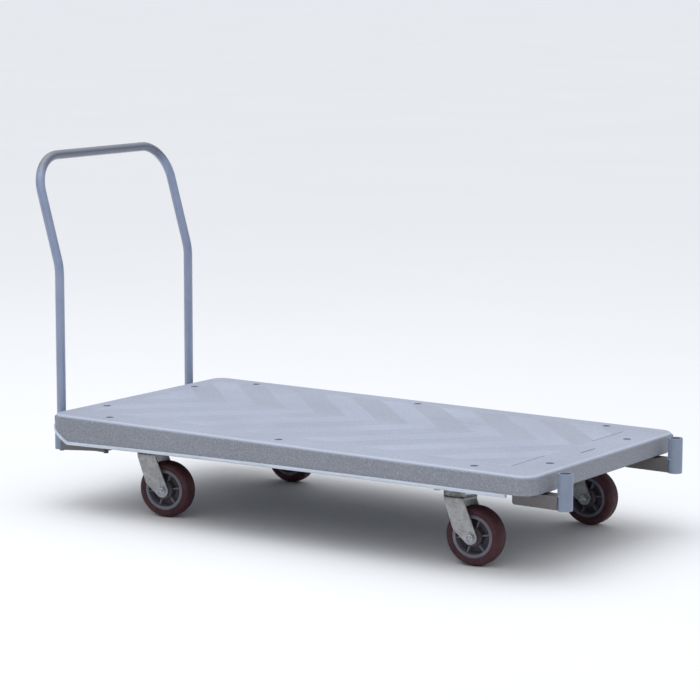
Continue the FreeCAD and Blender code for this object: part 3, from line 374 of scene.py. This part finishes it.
MATERIALS = {
    "deck_plastic": deck_material(),
    "trim_plastic": plastic_material("trim_pale_plastic", srgb(205, 213, 226), srgb(190, 199, 214), 0.35),
    "frame_paint": enamel_material("frame_grey_enamel", srgb(110, 113, 120), srgb(96, 99, 106), 0.5),
    "handle_paint": enamel_material("handle_blue_grey_enamel", srgb(140, 152, 180), srgb(130, 142, 170),
                                    roughness=0.28, coat=0.7, dirt=0.16, tint=crossbar_painted_shade,
                                    coat_roughness=0.1),
    "bracket_paint": enamel_material("bracket_blue_grey_enamel", srgb(133, 145, 166), srgb(124, 136, 157),
                                     tint=arms_dust_and_shade),
    "zinc": zinc_material("zinc_pressed_steel", srgb(164, 165, 167), srgb(142, 142, 142), 0.46,
                          metallic=0.75, shade_and_grease_above=CROWN_TOP),
    "fastener_zinc": zinc_material("zinc_bright_fastener", srgb(184, 188, 198), srgb(156, 160, 170), 0.32,
                                   spangle=160.0, metallic=0.9),
    # the bolts under the rear arms are coloured dark grey
    "dark_bolt": zinc_material("dark_grey_bolt", srgb(78, 72, 74), srgb(62, 56, 58), 0.45,
                               spangle=160.0, metallic=0.5),
    # painted shade: the deck's bolts take a darker blue-grey zinc, as shade in their recesses
    "deck_bolt": zinc_material("zinc_deck_bolt_shaded", srgb(140, 148, 170), srgb(120, 128, 148), 0.42,
                               spangle=160.0, metallic=0.7),
    "hub_plastic": plastic_material("hub_rim_grey_nylon", srgb(116, 116, 128), srgb(100, 99, 110), 0.42,
                                    grain=400.0),
    # painted shade: the web and boss take a darker copy of the rim's grey, as shade in the hub's hollow
    "hub_web": plastic_material("hub_web_shaded_nylon", srgb(74, 68, 77), srgb(60, 54, 62), 0.5,
                                grain=400.0),
    "tyre_rubber": rubber_material(),
    "plug_plastic": plastic_material("plug_black_plastic", srgb(32, 32, 34), srgb(40, 40, 42), 0.4),
}
SLOT_OF = {part["node"]: part["material_slot"] for part in frame["record"]["subparts"]}
FINISH_OF = {"bracket_bolts": "dark_bolt", "leg_stop_bolts": "dark_bolt"}
for bracket in ("front_left", "front_right", "rear_left", "rear_right"):
    FINISH_OF["bracket_" + bracket] = "bracket_paint"


def dress_cad():
    """Gives every CAD node its own slot's finished material."""
    for name, node in frame["nodes"].items():
        material = MATERIALS[FINISH_OF.get(name, SLOT_OF[name])]
        if not node.material_slots:
            node.data.materials.append(material)
        for place in node.material_slots:
            place.material = material


dress_cad()

# ---------------------------------------------------------------- helpers for pieces

def add_piece(name, mesh, body, slot_name, *replaced, sharp=35, finish=None):
    """Makes an object of a mesh, gives it its slot's finish or another, and lets it ride on a body."""
    for face in mesh.polygons:
        face.use_smooth = True
    mesh.set_sharp_from_angle(angle=math.radians(sharp))
    mesh.materials.clear()
    mesh.materials.append(MATERIALS[finish or slot_name])
    piece = bpy.data.objects.new(name, mesh)
    bpy.context.scene.collection.objects.link(piece)
    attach(piece, body)
    if replaced:
        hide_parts(*replaced)


def mesh_from(build, name):
    """A mesh from a bmesh that build(bm) has filled, with its normals turned outwards."""
    bm = bmesh.new()
    build(bm)
    bmesh.ops.recalc_face_normals(bm, faces=bm.faces)
    mesh = bpy.data.meshes.new(name)
    bm.to_mesh(mesh)
    bm.free()
    return mesh


def rounded_loop(corners, steps=4):
    """A closed 2-D outline whose corners (x, y, radius) are rounded by arcs."""
    points = []
    count = len(corners)
    for number in range(count):
        here = Vector(corners[number][:2])
        radius = corners[number][2]
        before = Vector(corners[number - 1][:2]) - here
        after = Vector(corners[(number + 1) % count][:2]) - here
        if radius <= 0:
            points.append(here)
            continue
        half = before.angle(after) / 2
        back = min(radius / math.tan(half), before.length * 0.49, after.length * 0.49)
        radius = back * math.tan(half)
        centre = here + (before.normalized() + after.normalized()).normalized() * (radius / math.sin(half))
        first = here + before.normalized() * back - centre
        last = here + after.normalized() * back - centre
        sweep = first.angle_signed(last)
        for step in range(steps + 1):
            turn = -sweep * step / steps
            points.append(centre + Matrix.Rotation(turn, 2) @ first)
    return points


def spline(points, steps=4):
    """Points on a smooth open curve through the given ones."""
    padded = [points[0]] + list(points) + [points[-1]]
    smooth = []
    for number in range(1, len(padded) - 2):
        a, b, c, d = (Vector(point) for point in padded[number - 1:number + 3])
        for step in range(steps):
            t = step / steps
            smooth.append(0.5 * (2 * b + (c - a) * t + (2 * a - 5 * b + 4 * c - d) * t * t
                                 + (3 * b - a - 3 * c + d) * t ** 3))
    smooth.append(Vector(points[-1]))
    return smooth


def lathe(bm, profile, steps, closed=True):
    """Turns a profile of (radius, along) points about the Y axis."""
    rings = []
    for step in range(steps):
        angle = 2 * math.pi * step / steps
        ring = [bm.verts.new((radius * math.cos(angle), along, radius * math.sin(angle)))
                for radius, along in profile]
        rings.append(ring)
    count = len(profile)
    for step in range(steps):
        here, after = rings[step], rings[(step + 1) % steps]
        for number in range(count if closed else count - 1):
            other = (number + 1) % count
            bm.faces.new((here[number], after[number], after[other], here[other]))


def loft(bm, rings, closed_ends=True):
    """Joins rings of points, each the same number round, into one skin."""
    made = [[bm.verts.new(point) for point in ring] for ring in rings]
    count = len(made[0])
    for here, after in zip(made, made[1:]):
        for number in range(count):
            other = (number + 1) % count
            bm.faces.new((here[number], here[other], after[other], after[number]))
    if closed_ends:
        bm.faces.new(list(reversed(made[0])))
        bm.faces.new(made[-1])


def frames_along(path):
    """For each point of a path, two directions square to it that don't twist."""
    side = Vector((1, 0, 0))
    if abs((path[1] - path[0]).normalized().dot(side)) > 0.9:
        side = Vector((0, 1, 0))
    frames = []
    for number, point in enumerate(path):
        ahead = path[min(number + 1, len(path) - 1)] - path[max(number - 1, 0)]
        ahead.normalize()
        side = (side - ahead * side.dot(ahead)).normalized()
        frames.append((side, ahead.cross(side)))
    return frames


def rings_along(path, radius_at, around=48):
    """Circles of points along a path; radius_at(number) gives each one's radius."""
    rings = []
    for number, (point, (side, up)) in enumerate(zip(path, frames_along(path))):
        radius = radius_at(number)
        ring = []
        for step in range(around):
            angle = 2 * math.pi * step / around
            ring.append(point + (side * math.cos(angle) + up * math.sin(angle)) * radius)
        rings.append(ring)
    return rings


# ---------------------------------------------------------------- wheels

RIM_RADIUS = 55.2 * MM
TYRE_RADIUS = 76.2 * MM
TYRE_HALF = 25.0 * MM
HUB_TURN = math.radians(9)
HUB_SPOKES = 6
# a rib runs between these radii, and is a little lower where it meets the rim
RIB_START = 25.0
RIB_END = 46.2
RIB_FALL = 0.97


def tyre_profile():
    """Flat sides with a moulded ring, round shoulders, a slight crown and a parting line."""
    half = [(62.0, 25.0), (66.6, 24.0), (70.6, 21.4), (73.6, 17.2), (75.3, 12.0), (75.8, 6.0),
            (75.95, 1.2)]
    shoulder = spline([(radius * MM, along * MM) for radius, along in half], 4)
    side = [(RIM_RADIUS, 24.3 * MM), (56.2 * MM, TYRE_HALF), (58.2 * MM, TYRE_HALF), (58.7 * MM, 24.5 * MM),
            (59.6 * MM, 24.5 * MM), (60.1 * MM, TYRE_HALF)]
    line = [(TYRE_RADIUS - 0.05 * MM, 0.7 * MM), (TYRE_RADIUS, 0.35 * MM)]
    upper = side + [tuple(point) for point in shoulder] + line
    return upper + [(radius, -along) for radius, along in reversed(upper)]


def build_tyre(bm):
    lathe(bm, tyre_profile(), 160)


def turned_section(bm, upper):
    """Turns a section that is the same on both sides of the wheel's middle; upper is in millimetres."""
    corners = upper + [(radius, -along, bend) for radius, along, bend in reversed(upper)]
    profile = rounded_loop([(radius * MM, along * MM, bend * MM) for radius, along, bend in corners], 3)
    lathe(bm, [tuple(point) for point in profile], 120)


def build_rim(bm):
    """The pale ring that the tyre is cast on, with a shallow step in its face, and the tapered ribs."""
    turned_section(bm, [(44.4, 5.2, 0), (46.0, 22.6, 0.8), (47.2, 23.7, 0.6), (51.4, 23.7, 0.3),
                        (51.8, 23.1, 0.3), (54.4, 23.1, 0.4), (55.2, 22.4, 0.3)])
    # half width and height of a rib, from its foot in the web to its rounded crest
    levels = ((3.6, 4.0), (2.9, 6.0), (2.4, 10.0), (2.1, 17.6), (1.6, 18.5), (0.9, 18.9))
    for number in range(HUB_SPOKES):
        turn = Matrix.Rotation(-HUB_TURN - 2 * math.pi * number / HUB_SPOKES, 4, "Y")
        for side in (1, -1):
            rings = []
            for wide, high in levels:
                ring = [(RIB_START, -wide, 1.0), (RIB_END, -wide, RIB_FALL),
                        (RIB_END, wide, RIB_FALL), (RIB_START, wide, 1.0)]
                rings.append([turn @ Vector((radius * MM, side * high * fall * MM, across * MM))
                              for radius, across, fall in ring])
            loft(bm, rings)


def build_web(bm):
    """The web and boss between the rim and the bearing, darker than the rim by painted shade."""
    turned_section(bm, [(14.0, 28.0, 0.6), (22.5, 28.0, 0.8), (26.0, 24.0, 1.5), (26.8, 5.6, 2.2),
                        (44.9, 5.0, 0.4)])


def wheel_place(name):
    """From a wheel's own frame, its axle along Y, to where the wheel stands at rest."""
    joint = joint_of(name + "_spin")
    axis = Vector(joint["axis"])
    turn = math.atan2(-axis.x, axis.y)
    return Matrix.Translation(Vector(joint["pos_m"])) @ Matrix.Rotation(turn, 4, "Z")


def add_wheels():
    """Tyre, rim and web of each wheel; the rim and the web stand for the one CAD hub."""
    parts = [
        ("tyre_moulded", mesh_from(build_tyre, "tyre_master"), "tyre_rubber", "tyre_rubber", "tyre", 30),
        ("hub_rim", mesh_from(build_rim, "rim_master"), "hub_plastic", "hub_plastic", "hub", 40),
        ("hub_web", mesh_from(build_web, "web_master"), "hub_plastic", "hub_web", None, 40),
    ]
    for name in CASTERS:
        for part, master, slot_name, finish, node, sharp in parts:
            mesh = master.copy()
            mesh.transform(wheel_place(name))
            replaced = [name + "_" + node] if node else []
            add_piece(name + "_" + part, mesh, name + "_wheel", slot_name, *replaced,
                      sharp=sharp, finish=finish)


# ---------------------------------------------------------------- fasteners

AROUND = 48
LEG_OUTSIDE = 36.5 * MM
AXLE_FLATS = 19 * MM
AXLE_RADIUS = 6.35 * MM
WASHER_RADIUS = 12.4 * MM
WASHER_THICKNESS = 1.8 * MM
THREAD_PITCH = 1.25 * MM
# heights above the leg's outer face: the bolt's head, the nut, and the end of the bolt's thread
AXLE_HEAD = 7.5 * MM
AXLE_NUT = 10.5 * MM
THREAD_START = 9 * MM
THREAD_END = 13.5 * MM
# the ring pressed into the head's face, as radius and height, and the dome inside it
DISH_EDGE = (7.6 * MM, 7.3 * MM)
DISH_FLOOR = (6.9 * MM, 5.9 * MM)
DOME_RADIUS = 5.9 * MM
DOME_HEIGHT = 3.4 * MM
# the deck's bolts, whose heads stand on the floor of a round recess
DECK_RECESS = 3.5 * MM
BUTTON_RADIUS = 9 * MM
BUTTON_SEAT = 8.6 * MM
DECK_SHANK = 4 * MM
DECK_SOCKET_FLATS = 5 * MM


def turned_ring(radius, along):
    """A ring of points about the Y axis; radius and along are numbers, or functions of the angle."""
    ring = []
    for step in range(AROUND):
        angle = 2 * math.pi * step / AROUND
        reach = radius(angle) if callable(radius) else radius
        place = along(angle) if callable(along) else along
        ring.append(Vector((reach * math.cos(angle), place, reach * math.sin(angle))))
    return ring


def hexagon_reach(flats):
    """How far a hexagon reaches from its middle at an angle."""
    return lambda angle: flats / 2 / math.cos(angle % math.radians(60) - math.radians(30))


def hexagon_rings(flats, low, high):
    """Rings of a hexagonal block along Y, its outer end turned to a cone so that the corners drop."""
    reach = hexagon_reach(flats)
    top = flats * 0.48
    return [turned_ring(reach, low), turned_ring(reach, lambda angle: high - 0.58 * (reach(angle) - top)),
            turned_ring(top, high)]


def dome_rings(radius, low, height, steps=6):
    rings = []
    for step in range(steps + 1):
        angle = math.radians(86) * step / steps
        rings.append(turned_ring(radius * math.cos(angle), low + height * math.sin(angle)))
    return rings


def washer_rings(low):
    edge = 0.35 * MM
    high = low + WASHER_THICKNESS
    return [turned_ring(WASHER_RADIUS - edge, low), turned_ring(WASHER_RADIUS, low + edge),
            turned_ring(WASHER_RADIUS, high - edge), turned_ring(WASHER_RADIUS - edge, high)]


def thread_rings(radius, low, high):
    """A threaded end: crests and roots up to a chamfer."""
    rings = []
    along = low
    while along < high - THREAD_PITCH:
        rings.append(turned_ring(radius, along))
        rings.append(turned_ring(radius - 0.6 * MM, along + THREAD_PITCH / 2))
        along += THREAD_PITCH
    rings.append(turned_ring(radius, along))
    rings.append(turned_ring(radius - 1.2 * MM, high))
    return rings


def build_axle_bolt(bm):
    """Washer, hexagonal head and its domed crown outside one leg; the shank runs through both legs."""
    start = LEG_OUTSIDE
    loft(bm, washer_rings(start))
    head = hexagon_rings(AXLE_FLATS, start + WASHER_THICKNESS, start + AXLE_HEAD)
    head += [turned_ring(radius, start + height) for radius, height in (DISH_EDGE, DISH_FLOOR)]
    head += dome_rings(DOME_RADIUS, start + DISH_FLOOR[1], DOME_HEIGHT)
    loft(bm, head)
    loft(bm, [turned_ring(AXLE_RADIUS, start + 2 * MM), turned_ring(AXLE_RADIUS, -start)])


def build_axle_nut(bm):
    """Washer, hexagonal nut and the bolt's threaded end outside the other leg."""
    start = LEG_OUTSIDE
    loft(bm, washer_rings(start))
    loft(bm, hexagon_rings(AXLE_FLATS, start + WASHER_THICKNESS, start + AXLE_NUT))
    loft(bm, thread_rings(AXLE_RADIUS, start + THREAD_START, start + THREAD_END))


def add_axle_fasteners():
    """The bolt's head is on the outside of the cart, the nut on the inside."""
    bolt = mesh_from(build_axle_bolt, "axle_bolt_master")
    nut = mesh_from(build_axle_nut, "axle_nut_master")
    half_turn = Matrix.Rotation(math.pi, 4, "Z")
    for name in CASTERS:
        outside_is_left = name.endswith("left")
        masters = (("axle_bolt", bolt, not outside_is_left), ("axle_nut", nut, outside_is_left))
        for part, master, turned in masters:
            mesh = master.copy()
            if turned:
                mesh.transform(half_turn)
            mesh.transform(wheel_place(name))
            add_piece("%s_%s_turned" % (name, part), mesh, name + "_fork_body", "fastener_zinc",
                      "%s_%s" % (name, part), sharp=30)


def fastener_places(node, spread=0.025):
    """The middles, in plan, of the separate fasteners that one node holds."""
    groups = []
    for vertex in frame["nodes"][node].data.vertices:
        place = vertex.co.xy.copy()
        near = [group for group in groups if (group[0] - place).length < spread]
        if near:
            near[0].append(place)
        else:
            groups.append([place])
    middles = []
    for group in groups:
        xs, ys = [place.x for place in group], [place.y for place in group]
        middles.append(((min(xs) + max(xs)) / 2, (min(ys) + max(ys)) / 2))
    return middles


def build_deck_bolt(bm):
    """A low domed head with a hexagonal socket, on a shank; along Y, its seat at nought."""
    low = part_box("deck_bolts")[0][2] - (DECK_TOP - DECK_RECESS)
    socket = hexagon_reach(DECK_SOCKET_FLATS)
    chamfer = 0.8 * MM
    rings = [turned_ring(DECK_SHANK - chamfer, low), turned_ring(DECK_SHANK, low + chamfer),
             turned_ring(DECK_SHANK, 0), turned_ring(BUTTON_SEAT, 0), turned_ring(BUTTON_RADIUS, 0.4 * MM)]
    steps = 5
    for step in range(1, steps + 1):
        angle = math.radians(68) * step / steps
        rings.append(turned_ring(BUTTON_RADIUS * math.cos(angle), (0.4 + 2.6 * math.sin(angle)) * MM))
    rings += [turned_ring(socket, 2.8 * MM), turned_ring(socket, 0.8 * MM), turned_ring(1 * MM, 0.5 * MM)]
    loft(bm, rings)


def add_deck_bolts():
    """The ten bolts of the deck, each in its round recess."""
    single = mesh_from(build_deck_bolt, "deck_bolt_master")
    upright = Matrix.Rotation(math.pi / 2, 4, "X")
    bm = bmesh.new()
    for number, (x, y) in enumerate(fastener_places("deck_bolts")):
        copy = single.copy()
        copy.transform(Matrix.Translation((x, y, DECK_TOP - DECK_RECESS))
                       @ Matrix.Rotation(0.7 * number, 4, "Z") @ upright)
        bm.from_mesh(copy)
    mesh = bpy.data.meshes.new("deck_bolts_socketed")
    bm.to_mesh(mesh)
    bm.free()
    add_piece("deck_bolts_socketed", mesh, "chassis", "fastener_zinc", "deck_bolts",
              finish="deck_bolt")


# ---------------------------------------------------------------- handle

TUBE_RADIUS = 12.7 * MM
TUBE_BORE = 10.6 * MM
HANDLE_HALF = 0.285
KNEE_HEIGHT = 0.650
KNEE_BEND = 0.150
CORNER_BEND = 0.100


def handle_corners():
    """The handle's centre line, as corners with the radius of each bend."""
    low, high = (Vector(corner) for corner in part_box("handle_tube"))
    leg_x = high.x - TUBE_RADIUS
    back_x = low.x + TUBE_RADIUS
    top = high.z - TUBE_RADIUS
    half = [(leg_x, low.z, 0), (leg_x, KNEE_HEIGHT, KNEE_BEND), (back_x, top, CORNER_BEND)]
    right = [(Vector((x, -HANDLE_HALF, z)), bend) for x, z, bend in half]
    left = [(Vector((x, HANDLE_HALF, z)), bend) for x, z, bend in reversed(half)]
    return right + left


def bent_path(corners, step_angle=math.radians(3)):
    """Points along straight runs joined by arcs that touch them."""
    points = [corners[0][0]]
    for (before, _), (corner, radius), (after, _) in zip(corners, corners[1:], corners[2:]):
        arriving = (corner - before).normalized()
        leaving = (after - corner).normalized()
        turn = arriving.angle(leaving)
        back = radius * math.tan(turn / 2)
        start = corner - arriving * back
        centre = start + (leaving - arriving * leaving.dot(arriving)).normalized() * radius
        axis = arriving.cross(leaving).normalized()
        count = max(2, math.ceil(turn / step_angle))
        for number in range(count + 1):
            points.append(centre + Matrix.Rotation(turn * number / count, 3, axis) @ (start - centre))
    points.append(corners[-1][0])
    return points


def evened(path, longest=0.05):
    """Splits the long straight stretches of a path."""
    points = [path[0]]
    for start, end in zip(path, path[1:]):
        parts = max(1, math.ceil((end - start).length / longest))
        points += [start.lerp(end, number / parts) for number in range(1, parts + 1)]
    return points


def add_handle():
    """The handle's tube, open inside from end to end."""
    path = evened(bent_path(handle_corners()))

    def build(bm):
        outside = rings_along(path, lambda number: TUBE_RADIUS)
        inside = rings_along(path, lambda number: TUBE_BORE)
        loft(bm, outside + list(reversed(inside)) + [outside[0]], closed_ends=False)
        bmesh.ops.remove_doubles(bm, verts=bm.verts, dist=1e-6)

    add_piece("handle_bent_tube", mesh_from(build, "handle"), "handle", "handle_paint", "handle_tube")


# ---------------------------------------------------------------- welds

ARM_TOP = 36 * MM
BEAD_STEP = 0.0009
SOCKET_BEAD = 2.4 * MM
FRAME_BEAD = 2.2 * MM
# how far a bead on the frame stops short of a corner, and lies inside the corner under a web
BEAD_MARGIN = 3 * MM
BEAD_INSET = 0.4 * MM


def add_bead(name, points, radius, body, slot_name):
    """A weld bead: a run of overlapping scales along a path."""
    chance = random.Random(name)
    path = evened(points, BEAD_STEP)
    pitch = 3

    def radius_at(number):
        end = min(number, len(path) - 1 - number) / 4
        scale = 0.86 + 0.14 * abs(math.sin(math.pi * number / pitch / 2))
        return radius * scale * min(1.0, 0.35 + end) * chance.uniform(0.96, 1.04)

    mesh = mesh_from(lambda bm: loft(bm, rings_along(path, radius_at, 14)), name)
    add_piece(name, mesh, body, slot_name, sharp=60)


def add_socket_welds():
    """The bead over the arm, round the foot of each socket."""
    for end, inward in (("front", -1), ("rear", 1)):
        for side in ("left", "right"):
            low, high = (Vector(corner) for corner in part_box("bracket_%s_%s" % (end, side)))
            x = (high.x if end == "front" else low.x) + inward * SOCKET_RADIUS
            y = (low.y + high.y) / 2
            z = low.z + ARM_TOP
            points = []
            for step in range(25):
                angle = math.radians(-84 + 168 * step / 24)
                points.append(Vector((x + inward * math.cos(angle) * SOCKET_RADIUS,
                                      y + math.sin(angle) * SOCKET_RADIUS, z)))
            add_bead("weld_%s_%s" % (end, side), points, SOCKET_BEAD, "chassis", "handle_paint")


def add_frame_welds():
    """The beads where each rail's end meets a cross member: up both flanges and along the web."""
    for side in ("left", "right"):
        low, high = (Vector(corner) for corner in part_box("frame_rail_" + side))
        for end, x in (("rear", low.x), ("front", high.x)):
            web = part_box("cross_member_" + end)[0][2]
            under = web - BEAD_INSET
            foot, head = web + BEAD_MARGIN, high.z - BEAD_MARGIN
            runs = (("a", (low.y, foot), (low.y, head)),
                    ("b", (high.y, foot), (high.y, head)),
                    ("web", (low.y + BEAD_MARGIN, under), (high.y - BEAD_MARGIN, under)))
            for part, *ends in runs:
                points = [Vector((x, y, z)) for y, z in ends]
                add_bead("weld_rail_%s_%s_%s" % (side, end, part), points, FRAME_BEAD,
                         "chassis", "frame_paint")


add_wheels()
add_axle_fasteners()
add_deck_bolts()
add_handle()
add_socket_welds()
add_frame_welds()

# ---------------------------------------------------------------- floor, light and camera

CAMERA_PLACE = Vector((3.9679, -5.7336, 1.5274))
CAMERA_TARGET = Vector((0.0286, -0.0254, 0.4594))
CAMERA_ROLL = math.radians(0.127)
CAMERA_LENS = 135.33
SKY_LOW = 0.09
SKY_HIGH = 1.35
SKY_COLOUR = (0.96, 0.975, 1.0, 1.0)
FLOOR_HALF = 400.0
LIGHT_TARGET = Vector((0, 0, 0.3))


def add_stage():
    """A plain pale floor that runs well past the picture."""
    mesh = bpy.data.meshes.new("floor")
    corners = [(x * FLOOR_HALF, y * FLOOR_HALF, 0) for x, y in ((-1, -1), (1, -1), (1, 1), (-1, 1))]
    mesh.from_pydata(corners, [], [(0, 1, 2, 3)])
    floor = bpy.data.objects.new("floor", mesh)
    bpy.context.scene.collection.objects.link(floor)
    paint = Paint("floor_pale", roughness=0.8)
    tone = paint.mix(paint.noise(0.7, 2.0), srgb(238, 239, 241), srgb(242, 243, 245))
    paint.set("Base Color", tone)
    mesh.materials.append(paint.material)


def add_light(name, place, size, power, colour):
    data = bpy.data.lights.new(name, "AREA")
    data.shape = "RECTANGLE"
    data.size, data.size_y = size
    data.energy = power
    data.color = colour
    light = bpy.data.objects.new(name, data)
    light.location = place
    light.rotation_euler = (LIGHT_TARGET - Vector(place)).to_track_quat("-Z", "Y").to_euler()
    bpy.context.scene.collection.objects.link(light)


def add_camera():
    data = bpy.data.cameras.new("camera")
    data.lens = CAMERA_LENS
    data.sensor_width = 36
    data.clip_end = 1000
    camera = bpy.data.objects.new("camera", data)
    look = (CAMERA_TARGET - CAMERA_PLACE).to_track_quat("-Z", "Y").to_matrix().to_4x4()
    camera.matrix_world = Matrix.Translation(CAMERA_PLACE) @ look @ Matrix.Rotation(CAMERA_ROLL, 4, "Z")
    bpy.context.scene.collection.objects.link(camera)
    bpy.context.scene.camera = camera


def add_world():
    world = bpy.data.worlds.new("studio")
    world.use_nodes = True
    tree = world.node_tree
    background = tree.nodes["Background"]
    background.inputs["Color"].default_value = SKY_COLOUR
    # soft light that is strongest from straight above and weak along the horizon
    axes = tree.nodes.new("ShaderNodeSeparateXYZ")
    tree.links.new(tree.nodes.new("ShaderNodeTexCoord").outputs["Generated"], axes.inputs[0])
    height = tree.nodes.new("ShaderNodeMapRange")
    height.interpolation_type = "SMOOTHSTEP"
    height.inputs["To Min"].default_value = SKY_LOW
    height.inputs["To Max"].default_value = SKY_HIGH
    tree.links.new(axes.outputs["Z"], height.inputs["Value"])
    tree.links.new(height.outputs[0], background.inputs["Strength"])
    bpy.context.scene.world = world
    bpy.context.scene.view_settings.view_transform = "Standard"


add_stage()
add_light("overhead", (-0.5, -0.6, 4.2), size=(4.5, 3.5), power=55, colour=(0.98, 0.99, 1.0))
add_light("front_fill", (2.6, -5.0, 2.4), size=(2.5, 2.0), power=15, colour=(1.0, 0.99, 0.97))
add_camera()
add_world()
